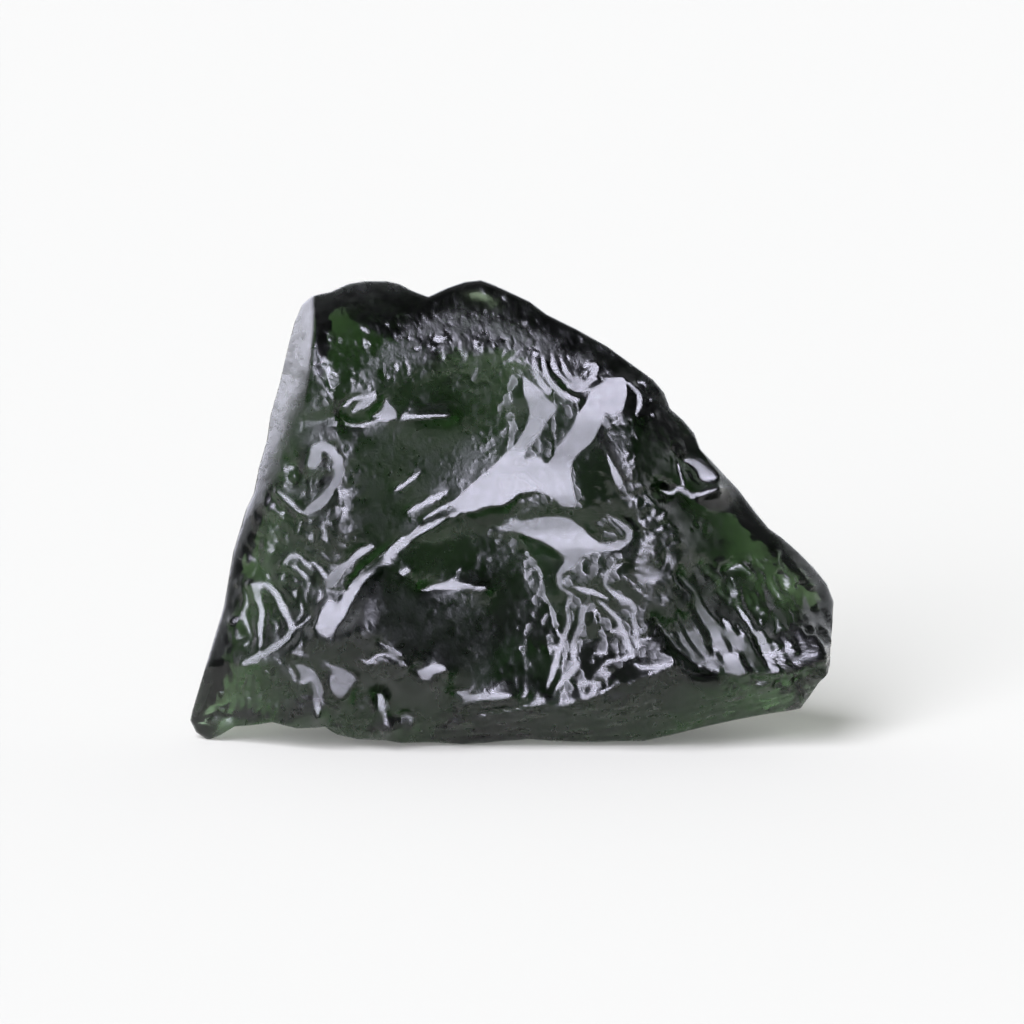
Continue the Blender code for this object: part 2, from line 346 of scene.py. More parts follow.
def dish(u, v):
    """The great front scoop: falls from the left, flattens, then climbs to the right ridge."""
    s = u - 50.0 * ease(v, 500.0, 650.0) - 478.0
    left = np.minimum(s, 0.0)
    right = np.maximum(s, 0.0)
    turn = 37.0 + 4.0 * np.sin(v / 17.0) + 2.0 * np.sin(v / 6.3 + u / 31.0)
    rise = np.where(right < 75.0, soft_max(-0.10 * right, 0.50 * (right - 4.0 - turn), 2.0),
                    0.0034 * right ** 2 / (1.0 + 0.0016 * right))
    across = 0.0042 * left ** 2 / (1.0 + 0.002 * np.abs(left)) + rise
    return 50.0 + across + 0.0006 * (v - 440.0) ** 2


def plain_front(u, v):
    h = soft_min(plane(UPPER_LEFT, u, v), plane(LEFT_EDGE, u, v), 3.0)
    h = soft_min(h, soft_min(plane(CREST, u, v), plane(CREST_LEFT, u, v), 14.0), 8.0)
    h = soft_min(h, dish(u, v), 5.0)
    right = plane(RIGHT, u, v) - 9.0 * np.exp(-((u - 735.0) / 60.0) ** 2 - ((v - 575.0) / 70.0) ** 2)
    ribbed = ease(u, 680.0, 715.0) * (1.0 - ease(u, 812.0, 834.0)) * ease(v, 582.0, 612.0) * (1.0 - ease(v, 668.0, 684.0))
    right = right + ribbed * (0.20 * (v - 640.0) + 0.12 * (u - 765.0))
    h = soft_min(h, right, 6.0)
    left = plane(LEFT, u, v) + 0.62 * 18.0 * np.logaddexp(0.0, (v - 610.0) / 18.0)
    h = soft_min(h, left, 26.0)
    h = soft_min(h, plane(FOOT, u, v), 5.0)
    under = soft_min(plane(UNDER, u, v), plane(UNDER_RIGHT, u, v), 10.0)
    return soft_min(h, under, 5.0)


def back(u, v):
    k = soft_min(plane(BACK_LEFT, u, v), plane(BACK_RIGHT, u, v), 10.0)
    k = soft_min(k, plane(BACK_TOP, u, v), 10.0)
    k = soft_min(k, plane(BACK_TOP_RIGHT, u, v), 10.0)
    return soft_min(k, plane(BACK_UNDER, u, v), 8.0)


# ---------------------------------------------------------------- relief of the broken front
def window(points, margin):
    a = np.array(points, float)
    i0, j0 = np.floor(a.min(0) - margin - (U0, V0)).astype(int)
    i1, j1 = np.ceil(a.max(0) + margin + 1 - (U0, V0)).astype(int)
    return slice(max(j0, 0), min(j1, NV)), slice(max(i0, 0), min(i1, NU))


def chips():
    """The small chips of the broken ground: width, then the points each runs through."""
    out = []
    for corners, count, least, most, width, heading, wander, seed in GRIT:
        rng = np.random.default_rng(seed)
        a = np.array(corners, float)
        while count > 0:
            p = rng.uniform(a.min(0), a.max(0))
            length, turn = rng.uniform(least, most), rng.normal(0.0, 0.35)
            angle = math.radians(heading + rng.uniform(-wander, wander))
            if not in_polygon(p[:1], p[1:], corners)[0]:
                continue
            count -= 1
            path = [tuple(p)]
            for _ in range(3):
                path.append((path[-1][0] + math.cos(angle) * length / 3, path[-1][1] + math.sin(angle) * length / 3))
                angle += turn
            out.append((width * rng.uniform(0.75, 1.25), path))
    return out


def cloud(shape, size, seed):
    """Soft random patches about size units wide, between -1 and 1 for the most part."""
    rng = np.random.default_rng(seed)
    f = np.fft.rfft2(rng.standard_normal(shape))
    ku = np.fft.rfftfreq(shape[1])[None, :]
    kv = np.fft.fftfreq(shape[0])[:, None]
    g = np.fft.irfft2(f * np.exp(-0.5 * (ku ** 2 + kv ** 2) * (2.2 * size) ** 2), s=shape)
    return g / (2.0 * g.std())


def soften(grid, width):
    ku = np.fft.rfftfreq(grid.shape[1])[None, :]
    kv = np.fft.fftfreq(grid.shape[0])[:, None]
    return np.fft.irfft2(np.fft.rfft2(grid) * np.exp(-2.0 * (np.pi * width) ** 2 * (ku ** 2 + kv ** 2)), s=grid.shape)


def strokes(mask, uu, vv, lines, ragged=0.9):
    """Lips drawn with uneven edges and thinner ends."""
    uneven = ragged * cloud(uu.shape, 3.5, 41)
    for width, points in lines:
        w = window(points, width)
        u, v = uu[w], vv[w]
        ends = np.minimum(np.hypot(u - points[0][0], v - points[0][1]), np.hypot(u - points[-1][0], v - points[-1][1]))
        half = 0.5 * width * np.clip(0.45 + ends / 14.0, 0.0, 1.08) + uneven[w]
        mask[w] = np.maximum(mask[w], np.clip(half - path_distance(u, v, smooth_path(points)) + 0.5, 0.0, 1.0))
    return mask


def fan():
    """Fine ribs that run down the lower right face, each with a broader foot."""
    rng = np.random.default_rng(83)
    out = []
    for k in range(26):
        t = (k + rng.uniform(-0.35, 0.35)) / 25.0
        angle = math.radians(51.0 + 17.0 * t + rng.uniform(-4.0, 4.0))
        along = np.array([math.cos(angle), math.sin(angle)])
        foot = np.array([699.0 + 124.0 * t, 658.0 + 15.0 * math.sin(math.pi * min(1.0, 0.25 + 0.6 * t)) ** 2])
        length = (84.0 - 52.0 * t) * rng.uniform(0.45, 1.0)
        top = foot - length * along
        middle = 0.5 * (top + foot) + 0.06 * length * np.array([-along[1], along[0]])
        out.append((rng.uniform(3.0, 4.2), [tuple(top), tuple(middle), tuple(foot)]))
        out.append((rng.uniform(3.8, 5.6), [tuple(foot - rng.uniform(5.0, 11.0) * along), tuple(foot)]))
    return out


def bright_mask(uu, vv):
    """Where the drawn faces and lips turn to the key light."""
    mask = np.zeros(uu.shape)
    for corners in FACES:
        w = window(corners, 2)
        path = smooth_path(corners + corners[:1])
        mask[w] = np.maximum(mask[w], in_polygon(uu[w], vv[w], [tuple(p) for p in path[:-1]]))
    mask = strokes(mask, uu, vv, LIPS + fan())
    for corners in GAPS:
        w = window(corners, 2)
        mask[w] = np.where(in_polygon(uu[w], vv[w], corners), 0.0, mask[w])
    return mask


def from_key(gu, gv):
    """How far slopes lie from the ones that mirror the key light, and which way."""
    (au, av), (bu, bv) = KEY_FROM, KEY_TO
    eu, ev = bu - au, bv - av
    t = np.clip(((gu - au) * eu + (gv - av) * ev) / (eu * eu + ev * ev), 0.0, 1.0)
    du, dv = gu - (au + t * eu), gv - (av + t * ev)
    return np.maximum(np.hypot(du, dv), 1e-6), du, dv


def relief(base, mask, body, start, rounds, screen, pull, clear=0.21):
    """The height added to the plain form so that the bright faces turn to the key light and the rest turns away.

    Each round asks every point for its slope, then takes the surface that comes nearest to those slopes.
    """
    ku = 2.0 - 2.0 * np.cos(2.0 * np.pi * np.fft.rfftfreq(base.shape[1]))
    kv = 2.0 - 2.0 * np.cos(2.0 * np.pi * np.fft.fftfreq(base.shape[0]))
    spread = 1.0 / (screen + kv[:, None] + ku[None, :])
    bu = np.diff(base, axis=1, append=base[:, -1:])
    bv = np.diff(base, axis=0, append=base[-1:, :])
    su = np.roll(start, -1, 1) - start
    sv = np.roll(start, -1, 0) - start
    bright = mask > 0.5
    push = np.where(bright, 1.7, 1.2) * body
    c = start.copy()
    for _ in range(rounds):
        cu = np.roll(c, -1, 1) - c
        cv = np.roll(c, -1, 0) - c
        d, du, dv = from_key(bu + cu, bv + cv)
        want = np.where(bright, np.minimum(d, 0.35 * KEY_HALF), np.maximum(d, clear))
        scale = (want - d) / d * push
        gu = cu + du * scale - pull * (cu - su)
        gv = cv + dv * scale - pull * (cv - sv)
        div = (gu - np.roll(gu, 1, 1)) + (gv - np.roll(gv, 1, 0))
        c = np.fft.irfft2(np.fft.rfft2(screen * start - div) * spread, s=base.shape)
    return c


def halved(grid):
    return grid.reshape(grid.shape[0] // 2, 2, grid.shape[1] // 2, 2).mean(axis=(1, 3))


def doubled(grid):
    grid = np.repeat(np.repeat(grid, 2, 0), 2, 1)
    for axis in (0, 1):
        grid = 0.25 * np.roll(grid, 1, axis) + 0.5 * grid + 0.25 * np.roll(grid, -1, axis)
    return grid


def whole_relief(base, features, chipped, body):
    """The broad relief first, on a grid of half the size, then the fine one with the small chips."""
    small = relief(halved(base) / 2, halved(features), (halved(body) > 0.5).astype(float),
                   np.zeros((NV // 2, NU // 2)), 300, 1.2e-4, 0.003)
    broad = relief(base, features, body, 2.0 * doubled(small), 50, 1.2e-4, 0.02)
    return relief(base, np.maximum(features, chipped), body, broad, 22, 1.2e-4, 0.02)


def matt_ground(uu, vv, lit):
    matt = np.zeros(uu.shape)
    for corners, level in MATT:
        path = smooth_path(corners + corners[:1], 6.0) if len(corners) > 4 else np.array(corners + corners[:1])
        matt = np.where(in_polygon(uu, vv, [tuple(p) for p in path[:-1]]), level, matt)
    matt = soften(matt, 5.0)
    # Sharp creases that would glint where the drawing shows no lip are worn matt.
    glint = (from_key(np.gradient(FRONT, axis=1), np.gradient(FRONT, axis=0))[0] < 0.16) * (lit < 0.3)
    matt = np.maximum(matt, np.clip(3.0 * soften(glint.astype(float), 1.6), 0.0, 0.9))
    # The lower band is frosted in long streaks that follow its foot.
    over = np.interp(uu, [440.0, 600.0, 700.0, 760.0, 815.0], [736.0, 734.0, 720.0, 708.0, 690.0]) - vv
    streak = np.sin(over / 1.5 + 2.2 * np.sin(uu / 43.0 + over / 5.0) + 1.2 * np.sin(uu / 17.0 - over / 7.0))
    band = [(440, 706), (560, 706), (690, 702), (830, 672), (818, 712), (640, 746), (440, 746)]
    matt = matt + 0.28 * streak * soften(in_polygon(uu, vv, band).astype(float), 4.0)
    mottle = 1.0 + 0.45 * cloud(uu.shape, 14.0, 51) + 0.35 * cloud(uu.shape, 5.0, 52) + 0.25 * cloud(uu.shape, 2.0, 53)
    lit = np.clip(2.0 * soften(lit, 1.8), 0.0, 1.0)
    return np.clip(matt * mottle * (1.0 - lit) + (0.30 + 0.05 * cloud(uu.shape, 6.0, 54)) * lit, 0.0, 1.6)


def sample(grid, u, v):
    """The grid's value at any point, blended between its four neighbours."""
    x = np.clip(u - U0, 0.0, NU - 1.001)
    y = np.clip(v - V0, 0.0, NV - 1.001)
    i, j = x.astype(int), y.astype(int)
    x, y = x - i, y - j
    return (grid[j, i] * (1 - x) * (1 - y) + grid[j, i + 1] * x * (1 - y)
            + grid[j + 1, i] * (1 - x) * y + grid[j + 1, i + 1] * x * y)


UU, VV = np.meshgrid(U0 + np.arange(NU, dtype=float), V0 + np.arange(NV, dtype=float))
BODY = in_polygon(UU, VV, OUTLINE).astype(float)
PLAIN = plain_front(UU, VV)
FEATURES = bright_mask(UU, VV)
CHIPPED = strokes(np.zeros(UU.shape), UU, VV, chips()) * (soften(FEATURES, 3.0) < 0.06)
BRIGHT = np.maximum(FEATURES, CHIPPED)
# Broken-up creases between the broad faces.
PLAIN += 1.4 * cloud(UU.shape, 7.0, 63) * (
    ease(UU, 322.0, 345.0) * (1.0 - ease(UU, 352.0, 376.0)) * ease(VV, 392.0, 420.0) * (1.0 - ease(VV, 560.0, 600.0)))
PLAIN += 1.2 * np.sin(UU / 1.5 + 2.2 * cloud(UU.shape, 16.0, 64)) * ease(UU, 204.0, 218.0) * (1.0 - ease(UU, 276.0, 296.0)) \
    * ease(VV, 662.0, 676.0) * (1.0 - ease(VV, 706.0, 720.0)) * (0.6 + 0.5 * cloud(UU.shape, 12.0, 65))
FRONT = PLAIN + whole_relief(PLAIN, FEATURES, CHIPPED, BODY)
FRONT += (0.38 * cloud(UU.shape, 7.0, 61) + 0.16 * cloud(UU.shape, 3.0, 62)) * (1.0 - np.clip(2.2 * soften(BRIGHT, 2.2), 0.0, 1.0))
MATTNESS = matt_ground(UU, VV, BRIGHT)
EDGE = outline_distance(UU, VV, OUTLINE)
EDGE_COARSE = outline_distance(UU, VV, COARSE)


def shell_chips():
    """Shell-shaped chips of the back and the sides: centre u, v, h and radius."""
    rng = np.random.default_rng(77)
    out = []
    for _ in range(34):
        while True:
            p = rng.uniform((200.0, 290.0), (825.0, 735.0))
            if in_polygon(p[:1], p[1:], COARSE)[0]:
                break
        k = float(back(p[0], p[1]))
        n = np.array([float(back(p[0] - 1.0, p[1])) - k, float(back(p[0], p[1] - 1.0)) - k, -1.0])
        n /= np.linalg.norm(n)
        radius, bite = rng.uniform(60.0, 190.0), rng.uniform(3.0, 7.5)
        c = np.array([p[0], p[1], -k]) + n * (radius - bite)
        out.append((*c, radius))
    a = np.array(OUTLINE, float)
    for _ in range(30):
        i = rng.integers(0, len(a))
        along = a[(i + 1) % len(a)] - a[i - 1]
        n = np.array([along[1], -along[0], 0.0])
        n[2] = rng.uniform(-0.5, 0.1) * np.linalg.norm(n)
        n /= np.linalg.norm(n)
        radius, bite, h = rng.uniform(30.0, 90.0), rng.uniform(2.5, 5.5), rng.uniform(-95.0, -25.0)
        side = a[i] - 0.30 * (30.0 - h) * n[:2]
        c = np.array([side[0], side[1], h]) + n * (radius - bite)
        out.append((*c, radius))
    return out


def waves(u, v, h):
    """Fine uneven swells of the skin, about -1 to 1."""
    a = np.sin(u / 6.1 + 1.7 * np.sin(v / 11.3 + h / 17.0)) * np.sin(v / 7.3 + 1.3 * np.sin(h / 9.1 - u / 23.0))
    b = np.sin(u / 2.9 - h / 3.7 + 2.1 * np.sin(v / 8.7)) * np.sin(v / 3.3 + h / 4.1 + 1.9 * np.sin(u / 7.9))
    return 0.65 * a + 0.35 * b


SHELLS = shell_chips()
WOBBLE = cloud(UU.shape, 15.0, 71)
BROKEN = cloud(UU.shape, 8.0, 72)


def outside(u, v, h):
    """Negative inside the stone, positive outside it."""
    face = sample(FRONT, u, v)
    rim = soft_min(RIM_H + 22.0 * ease(v, 640.0, 735.0), face - 3.0, 6.0)
    away = h - rim
    low = ease(v, 640.0, 725.0) * (1.0 - ease(u, 640.0, 780.0)) * ease(u, 230.0, 330.0)
    taper = np.where(away < 0.0, 0.34 - 0.25 * low, 0.16)
    fade = ease(np.abs(away), 10.0, 110.0)
    side = (1.0 - fade) * sample(EDGE, u, v) + fade * sample(EDGE_COARSE, u, v)
    side = side + taper * np.abs(away)
    f = soft_max(side, (h - face) * 0.75, 3.0)
    f = soft_max(f, (-h - back(u, v)) * 0.85, 6.0)
    for cu, cv, ck, radius in BACK_SCOOPS:
        scoop = radius - np.sqrt((u - cu) ** 2 + (v - cv) ** 2 + (-h - ck) ** 2)
        f = soft_max(f, scoop, 3.0)
    # Chips and swells stay off the front and off the rim that the outline follows.
    behind = ease(-away, 4.0, 34.0)
    for cu, cv, ch, radius in SHELLS:
        far = np.sqrt((u - cu) ** 2 + (v - cv) ** 2 + (h - ch) ** 2)
        f = soft_max(f, radius - far - 30.0 * (1.0 - behind), 2.0)
    ripple = np.sin(np.hypot(u - 700.0, v - 380.0) / 2.6) * ease(u, 430.0, 560.0) \
        + np.sin(np.hypot(u - 250.0, v - 700.0) / 3.1) * ease(-u, -480.0, -350.0)
    f = f - 0.7 * (1.0 - ease(-away, 0.0, 24.0)) * terraces(u, v)
    return f + behind * (0.55 * waves(u, v, h) + 0.35 * ripple)


def terraces(u, v):
    """Broken steps along the lower band, each with a narrow tread that turns up to the key light."""
    r = np.clip(u - 600.0, 0.0, 120.0)
    run = 0.12 * (u - 600.0) + 0.00125 * r ** 2 + 0.30 * np.maximum(u - 720.0, 0.0)
    t = (v + run + 3.5 * sample(WOBBLE, u, v)) / 9.0
    t = t - np.floor(t)
    step = 9.0 * 0.9 * np.where(t < 0.4, t - 0.2, 0.4 * (1.0 - t) / 0.6 - 0.2)
    top = np.interp(u, [430.0, 600.0, 700.0, 760.0, 830.0], [706.0, 701.0, 692.0, 684.0, 670.0])
    band = ease(v - top, -2.0, 7.0) * ease(u, 400.0, 450.0) * (1.0 - ease(u, 824.0, 836.0))
    band = band * ease(-sample(EDGE, u, v), 1.5, 6.0)
    return band * np.clip(0.85 + 0.9 * sample(BROKEN, u, v), 0.0, 1.0) * step


def to_world(u, v, h):
    w = BASE_V - v
    h = h + PROUD * np.maximum(h, 0.0)
    x = (u - MID_U) * GRID + SHIFT_X
    y = (w * math.sin(LEAN) - h * math.cos(LEAN)) * GRID + SHIFT_Y
    z = (w * math.cos(LEAN) + h * math.sin(LEAN) - FLOOR * math.cos(LEAN)) * GRID
    return np.stack([x, y, z], axis=-1)


# ---------------------------------------------------------------- the fine mesh
COLUMNS, ROWS = 312, 248      # cells across and down the front sheet; the back has half as many


def side_points(start, end, count):
    """Evenly spaced points of the outline from one corner to another, clockwise."""
    a, b = OUTLINE.index(start), OUTLINE.index(end)
    run = OUTLINE[a:b + 1] if a < b else OUTLINE[a:] + OUTLINE[:b + 1]
    p = np.array(run, float)
    along = np.concatenate([[0.0], np.cumsum(np.hypot(*np.diff(p, axis=0).T))])
    want = np.linspace(0.0, along[-1], count + 1)
    return np.stack([np.interp(want, along, p[:, 0]), np.interp(want, along, p[:, 1])], axis=1)


def flat_net(columns, rows):
    """A smooth net of points that fills the outline: rows by columns by (u, v)."""
    tl, tr, br, bl = CORNERS
    top = side_points(tl, tr, columns)
    right = side_points(tr, br, rows)
    bottom = side_points(br, bl, columns)[::-1]
    left = side_points(bl, tl, rows)[::-1]
    s = np.linspace(0.0, 1.0, columns + 1)[None, :, None]
    t = np.linspace(0.0, 1.0, rows + 1)[:, None, None]
    net = ((1 - t) * top[None] + t * bottom[None] + (1 - s) * left[:, None] + s * right[:, None]
           - (1 - s) * (1 - t) * top[0] - s * (1 - t) * top[-1]
           - (1 - s) * t * bottom[0] - s * t * bottom[-1])
    # Let the inside of the net settle, on a thinned net first.
    step = 8 if columns % 8 == 0 and rows % 8 == 0 else 1
    while step >= 1:
        thin = net[::step, ::step].copy()
        for _ in range(300 if step > 2 else 60):
            thin[1:-1, 1:-1] = 0.25 * (thin[:-2, 1:-1] + thin[2:, 1:-1] + thin[1:-1, :-2] + thin[1:-1, 2:])
        if step == 1:
            net[1:-1, 1:-1] = thin[1:-1, 1:-1]
            break
        finer = np.empty((thin.shape[0] * 2 - 1, thin.shape[1] * 2 - 1, 2))
        finer[::2, ::2] = thin
        finer[1::2, ::2] = 0.5 * (thin[:-1] + thin[1:])
        finer[:, 1::2] = 0.5 * (finer[:, :-2:2] + finer[:, 2::2])
        half = step // 2
        target = net[::half, ::half]
        target[1:-1, 1:-1] = finer[1:-1, 1:-1]
        net[::half, ::half] = target
        step = half
    return net


def ring_point(net, i, j, band):
    """For a node of the edge band: its inner anchor, its place on the outline, and its share of the way in."""
    rows, columns = net.shape[0] - 1, net.shape[1] - 1
    ic, jc = np.clip(i, band, columns - band), np.clip(j, band, rows - band)
    a, b = (i - ic) / band, (j - jc) / band
    r = np.maximum(np.abs(a), np.abs(b))
    safe = np.maximum(r, 1e-9)
    fi, fj = ic + a / safe * band, jc + b / safe * band
    fi, fj = np.clip(fi, 0, columns - 1e-6), np.clip(fj, 0, rows - 1e-6)
    i0, j0 = fi.astype(int), fj.astype(int)
    x, y = (fi - i0)[..., None], (fj - j0)[..., None]
    rim = (net[j0, i0] * (1 - x) * (1 - y) + net[j0, i0 + 1] * x * (1 - y)
           + net[j0 + 1, i0] * (1 - x) * y + net[j0 + 1, i0 + 1] * x * y)
    return net[jc, ic], rim, 1.0 - r


def lift(net, band, front):
    """The net's nodes carried out to the stone's skin, on its front or its back."""
    rows, columns = net.shape[0] - 1, net.shape[1] - 1
    i, j = np.meshgrid(np.arange(columns + 1), np.arange(rows + 1))
    anchor, rim, inward = ring_point(net, i, j, band)
    angle = 0.5 * math.pi * inward
    out = rim - anchor
    out /= np.maximum(np.linalg.norm(out, axis=-1, keepdims=True), 1e-9)
    start = np.where(inward[..., None] >= 1.0, net, anchor)
    face = sample(FRONT, rim[..., 0], rim[..., 1])
    level = soft_min(RIM_H + 22.0 * ease(rim[..., 1], 640.0, 735.0), face - 3.0, 6.0)
    level = np.minimum(level, sample(FRONT, start[..., 0], start[..., 1]) - 12.0)
    sign = 1.0 if front else -1.0
    du, dv = out[..., 0] * np.cos(angle), out[..., 1] * np.cos(angle)
    dh = sign * np.sin(angle)
    near = np.zeros(angle.shape)
    far = np.full(angle.shape, 330.0)
    for _ in range(17):
        middle = 0.5 * (near + far)
        beyond = outside(start[..., 0] + du * middle, start[..., 1] + dv * middle, level + dh * middle) > 0.0
        far = np.where(beyond, middle, far)
        near = np.where(beyond, near, middle)
    reach = 0.5 * (near + far)
    return np.stack([start[..., 0] + du * reach, start[..., 1] + dv * reach, level + dh * reach], axis=-1)


def fine_mesh():
    net = flat_net(COLUMNS, ROWS)
    front_pts = lift(net, 34, True)
    back_pts = lift(net[::2, ::2], 32, False)
    rows, columns = ROWS // 2, COLUMNS // 2
    count = (ROWS + 1) * (COLUMNS + 1)
    front_id = np.arange(count).reshape(ROWS + 1, COLUMNS + 1)
    inner = back_pts[1:-1, 1:-1].reshape(-1, 3)
    back_id = front_id[::2, ::2].copy()
    back_id[1:-1, 1:-1] = count + np.arange(len(inner)).reshape(rows - 1, columns - 1)
    points = np.vstack([front_pts.reshape(-1, 3), inner])
    a = front_id[:-1, :-1].ravel()
    b = front_id[:-1, 1:].ravel()
    c = front_id[1:, 1:].ravel()
    d = front_id[1:, :-1].ravel()
    faces = np.stack([a, d, c, b], axis=1).tolist()
    for j in range(rows):
        for i in range(columns):
            loop = [back_id[j, i]]
            if j == 0:
                loop.append(front_id[0, 2 * i + 1])
            loop.append(back_id[j, i + 1])
            if i == columns - 1:
                loop.append(front_id[2 * j + 1, COLUMNS])
            loop.append(back_id[j + 1, i + 1])
            if j == rows - 1:
                loop.append(front_id[ROWS, 2 * i + 1])
            loop.append(back_id[j + 1, i])
            if i == 0:
                loop.append(front_id[2 * j + 1, 0])
            faces.append([int(k) for k in loop])
    return points, faces


def matt_of(points):
    """How matt each point of the skin is: as drawn on the front, in patches on the sides and the back."""
    u, v, h = points.T
    face = sample(FRONT, u, v)
    on_front = ease(h - face, -26.0, -8.0)
    patches = (np.sin(u / 19.0 + 2.0 * np.sin(v / 37.0)) * np.sin(v / 23.0 + 1.5 * np.sin(h / 21.0))
               + 0.5 * np.sin(u / 7.0 + h / 9.0) * np.sin(v / 8.0 - h / 11.0))
    behind = np.clip(0.22 + 0.20 * patches, 0.0, 1.0)
    return on_front * sample(MATTNESS, u, v) + (1.0 - on_front) * behind


def build_stone():
    points, faces = fine_mesh()
    world = to_world(points[:, 0], points[:, 1], points[:, 2])
    world[:, 2] = np.maximum(world[:, 2], 0.0)
    mesh = bpy.data.meshes.new("moldavite_glass")
    mesh.from_pydata(world.tolist(), [], faces)
    mesh.update()
    mesh.shade_smooth()
    frosted = mesh.attributes.new("matt", "FLOAT", "POINT")
    frosted.data.foreach_set("value", matt_of(points).astype(np.float32))
    stone = bpy.data.objects.new("moldavite_stone", mesh)
    bpy.context.scene.collection.objects.link(stone)
    return stone


# ---------------------------------------------------------------- glass
def glass():
    m = bpy.data.materials.new("moldavite_glass")
    m.use_nodes = True
    nt = m.node_tree
    nt.nodes.clear()
    out = nt.nodes.new("ShaderNodeOutputMaterial")
    bsdf = nt.nodes.new("ShaderNodeBsdfPrincipled")
    bsdf.inputs["Base Color"].default_value = (1.0, 1.0, 1.0, 1.0)
    bsdf.inputs["Metallic"].default_value = 0.0
    bsdf.inputs["IOR"].default_value = 1.49
    bsdf.inputs["Transmission Weight"].default_value = 1.0
    nt.links.new(bsdf.outputs["BSDF"], out.inputs["Surface"])

    # Polished to frosted, as the skin's own patches say.
    matt = nt.nodes.new("ShaderNodeAttribute")
    matt.attribute_name = "matt"
    rough = nt.nodes.new("ShaderNodeMapRange")
    nt.links.new(matt.outputs["Fac"], rough.inputs["Value"])
    for name, number in (("From Min", 0.0), ("From Max", 1.0), ("To Min", 0.085), ("To Max", 0.58)):
        rough.inputs[name].default_value = number
    nt.links.new(rough.outputs["Result"], bsdf.inputs["Roughness"])

    # Etched pits and fine scratches too small for the mesh.
    coord = nt.nodes.new("ShaderNodeTexCoord")
    pits = nt.nodes.new("ShaderNodeTexNoise")
    pits.inputs["Scale"].default_value = 2600.0
    pits.inputs["Detail"].default_value = 5.0
    pits.inputs["Roughness"].default_value = 0.62
    nt.links.new(coord.outputs["Object"], pits.inputs["Vector"])
    depth = nt.nodes.new("ShaderNodeMath")
    depth.operation = "MULTIPLY"
    nt.links.new(pits.outputs["Fac"], depth.inputs[0])
    lift_by = nt.nodes.new("ShaderNodeMapRange")
    nt.links.new(matt.outputs["Fac"], lift_by.inputs["Value"])
    for name, number in (("From Min", 0.3), ("From Max", 1.0), ("To Min", 0.04), ("To Max", 1.0)):
        lift_by.inputs[name].default_value = number
    nt.links.new(lift_by.outputs["Result"], depth.inputs[1])
    bump = nt.nodes.new("ShaderNodeBump")
    bump.inputs["Strength"].default_value = 1.0
    bump.inputs["Distance"].default_value = 0.00007
    nt.links.new(depth.outputs["Value"], bump.inputs["Height"])
    nt.links.new(bump.outputs["Normal"], bsdf.inputs["Normal"])

    vol = nt.nodes.new("ShaderNodeVolumeAbsorption")
    vol.inputs["Color"].default_value = (0.11, 0.30, 0.02, 1.0)
    vol.inputs["Density"].default_value = 720.0
    nt.links.new(vol.outputs["Volume"], out.inputs["Volume"])
    return m


# ---------------------------------------------------------------- light, floor, camera
RIGHT_AXIS = Vector((1.0, 0.0, 0.0))
UP_AXIS = Vector((0.0, math.sin(LEAN), math.cos(LEAN)))
TO_VIEWER = Vector((0.0, -math.cos(LEAN), math.sin(LEAN)))


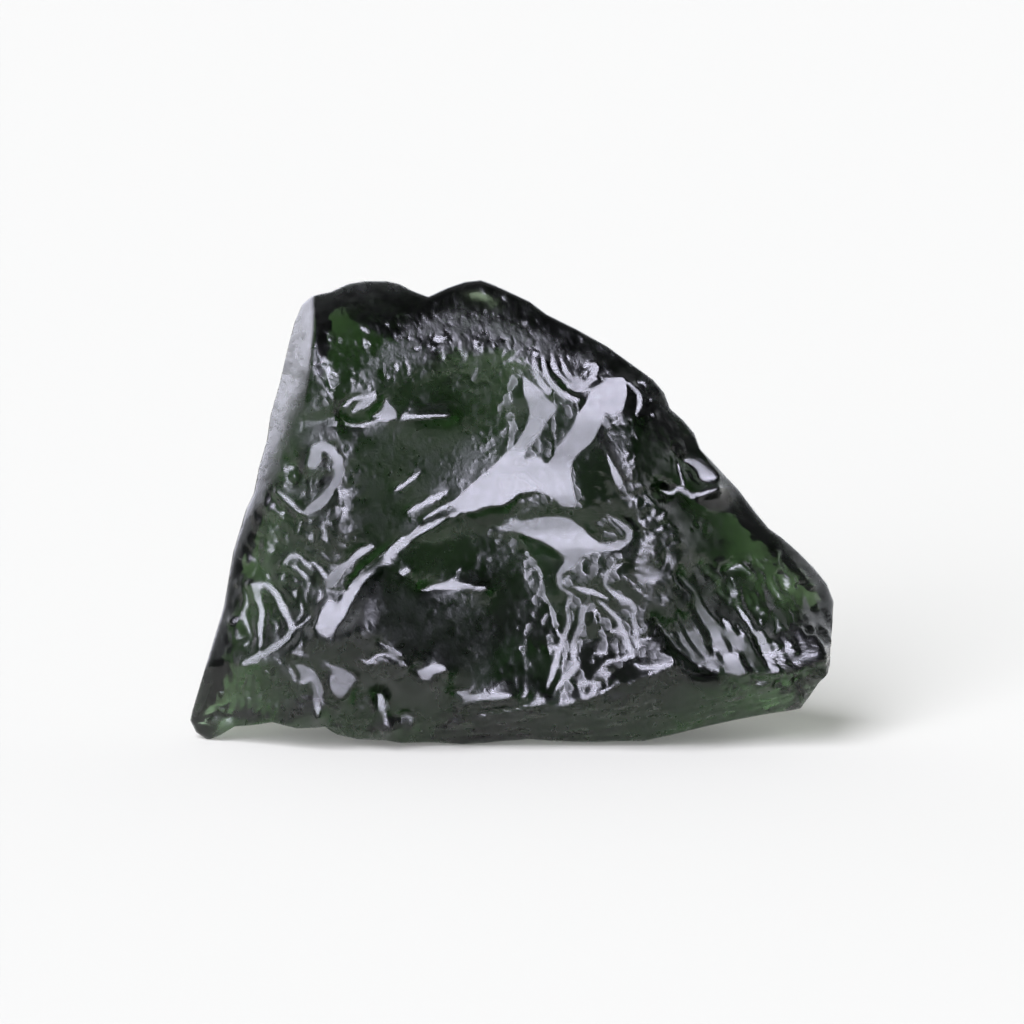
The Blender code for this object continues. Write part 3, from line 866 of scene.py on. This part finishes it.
def studio():
    world = bpy.data.worlds.new("studio")
    bpy.context.scene.world = world
    world.use_nodes = True
    nt = world.node_tree
    nt.nodes.clear()
    out = nt.nodes.new("ShaderNodeOutputWorld")
    coord = nt.nodes.new("ShaderNodeTexCoord")

    def dot(axis):
        n = nt.nodes.new("ShaderNodeVectorMath")
        n.operation = "DOT_PRODUCT"
        nt.links.new(coord.outputs["Generated"], n.inputs[0])
        n.inputs[1].default_value = tuple(axis)
        return n.outputs["Value"]

    def math_node(op, a, b=0.0):
        n = nt.nodes.new("ShaderNodeMath")
        n.operation = op
        for socket, value in zip(n.inputs, (a, b)):
            if isinstance(value, (int, float)):
                socket.default_value = value
            else:
                nt.links.new(value, socket)
        return n.outputs["Value"]

    def ramp(value, low, high, to_low=0.0, to_high=1.0):
        n = nt.nodes.new("ShaderNodeMapRange")
        n.interpolation_type = "SMOOTHSTEP"
        nt.links.new(value, n.inputs["Value"])
        for name, number in (("From Min", low), ("From Max", high), ("To Min", to_low), ("To Max", to_high)):
            n.inputs[name].default_value = number
        return n.outputs["Result"]

    def softbox(azimuth, elevation, half_wide, half_high, edge):
        a, e = math.radians(azimuth), math.radians(elevation)
        f = -math.sin(a) * math.cos(e) * RIGHT_AXIS + math.sin(e) * UP_AXIS + math.cos(a) * math.cos(e) * TO_VIEWER
        r = math.cos(a) * RIGHT_AXIS + math.sin(a) * TO_VIEWER
        u = f.cross(r)
        if u.dot(UP_AXIS) < 0:
            u = -u
        depth = dot(f)
        safe = math_node("MAXIMUM", depth, 0.05)
        x = math_node("ABSOLUTE", math_node("DIVIDE", dot(r), safe))
        y = math_node("ABSOLUTE", math_node("DIVIDE", dot(u), safe))
        inside = math_node("MULTIPLY", ramp(x, half_wide + edge, half_wide - edge),
                           ramp(y, half_high + edge, half_high - edge))
        uneven = math_node("ADD", 1.0, math_node("MULTIPLY", math_node("DIVIDE", dot(u), safe), 0.35))
        return math_node("MULTIPLY", math_node("MULTIPLY", inside, uneven), ramp(depth, 0.0, 0.2))

    behind = math_node("MULTIPLY", ramp(dot((0.0, 1.0, 0.0)), -0.10, 0.42, 0.18, 1.30),
                       ramp(dot((0.0, 0.0, 1.0)), 0.60, 0.80, 1.0, 0.30))
    key = math_node("MULTIPLY", softbox(26.0, 25.0, 0.31, 0.71, 0.03), 15.5)
    rim = math_node("MULTIPLY", softbox(146.0, 10.0, 0.40, 0.45, 0.15), 1.6)
    front = math_node("ADD", key, rim)
    colour = nt.nodes.new("ShaderNodeCombineColor")
    for name, of_front, of_behind in (("Red", 0.93, 0.95), ("Green", 0.92, 0.98), ("Blue", 1.12, 1.04)):
        nt.links.new(math_node("ADD", math_node("MULTIPLY", front, of_front), math_node("MULTIPLY", behind, of_behind)),
                     colour.inputs[name])
    lights = nt.nodes.new("ShaderNodeBackground")
    nt.links.new(colour.outputs["Color"], lights.inputs["Color"])
    seen = nt.nodes.new("ShaderNodeBackground")
    seen.inputs["Color"].default_value = (0.956, 0.956, 0.956, 1.0)
    path = nt.nodes.new("ShaderNodeLightPath")
    mix = nt.nodes.new("ShaderNodeMixShader")
    nt.links.new(path.outputs["Is Camera Ray"], mix.inputs["Fac"])
    nt.links.new(lights.outputs["Background"], mix.inputs[1])
    nt.links.new(seen.outputs["Background"], mix.inputs[2])
    nt.links.new(mix.outputs["Shader"], out.inputs["Surface"])


def pale_floor():
    mesh = bpy.data.meshes.new("floor")
    s, z = 4.0, -0.00003
    mesh.from_pydata([(-s, -s, z), (s, -s, z), (s, s, z), (-s, s, z)], [], [(0, 1, 2, 3)])
    floor = bpy.data.objects.new("floor", mesh)
    bpy.context.scene.collection.objects.link(floor)
    m = bpy.data.materials.new("floor_paper")
    m.use_nodes = True
    bsdf = m.node_tree.nodes["Principled BSDF"]
    bsdf.inputs["Base Color"].default_value = (0.375, 0.377, 0.318, 1.0)
    bsdf.inputs["Emission Color"].default_value = (1.0, 1.0, 1.0, 1.0)
    bsdf.inputs["Emission Strength"].default_value = 0.14
    bsdf.inputs["Roughness"].default_value = 1.0
    bsdf.inputs["Specular IOR Level"].default_value = 0.0
    mesh.materials.append(m)


def camera():
    data = bpy.data.cameras.new("camera")
    cam = bpy.data.objects.new("camera", data)
    bpy.context.scene.collection.objects.link(cam)
    distance = 0.45
    target = Vector(to_world(np.array(512.0), np.array(512.0), np.array(45.0)).tolist())
    cam.location = target + TO_VIEWER * distance
    cam.rotation_euler = (-TO_VIEWER).to_track_quat("-Z", "Y").to_euler()
    data.sensor_width = 36.0
    data.lens = 36.0 * distance / (1024.0 * GRID)
    data.clip_start = 0.01
    data.clip_end = 20.0
    bpy.context.scene.camera = cam


stone = build_stone()
stone.data.materials.append(glass())
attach(stone, "root")
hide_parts("moldavite")
pale_floor()
studio()
camera()
scene = bpy.context.scene
scene.view_settings.view_transform = "Standard"
scene.view_settings.look = "None"
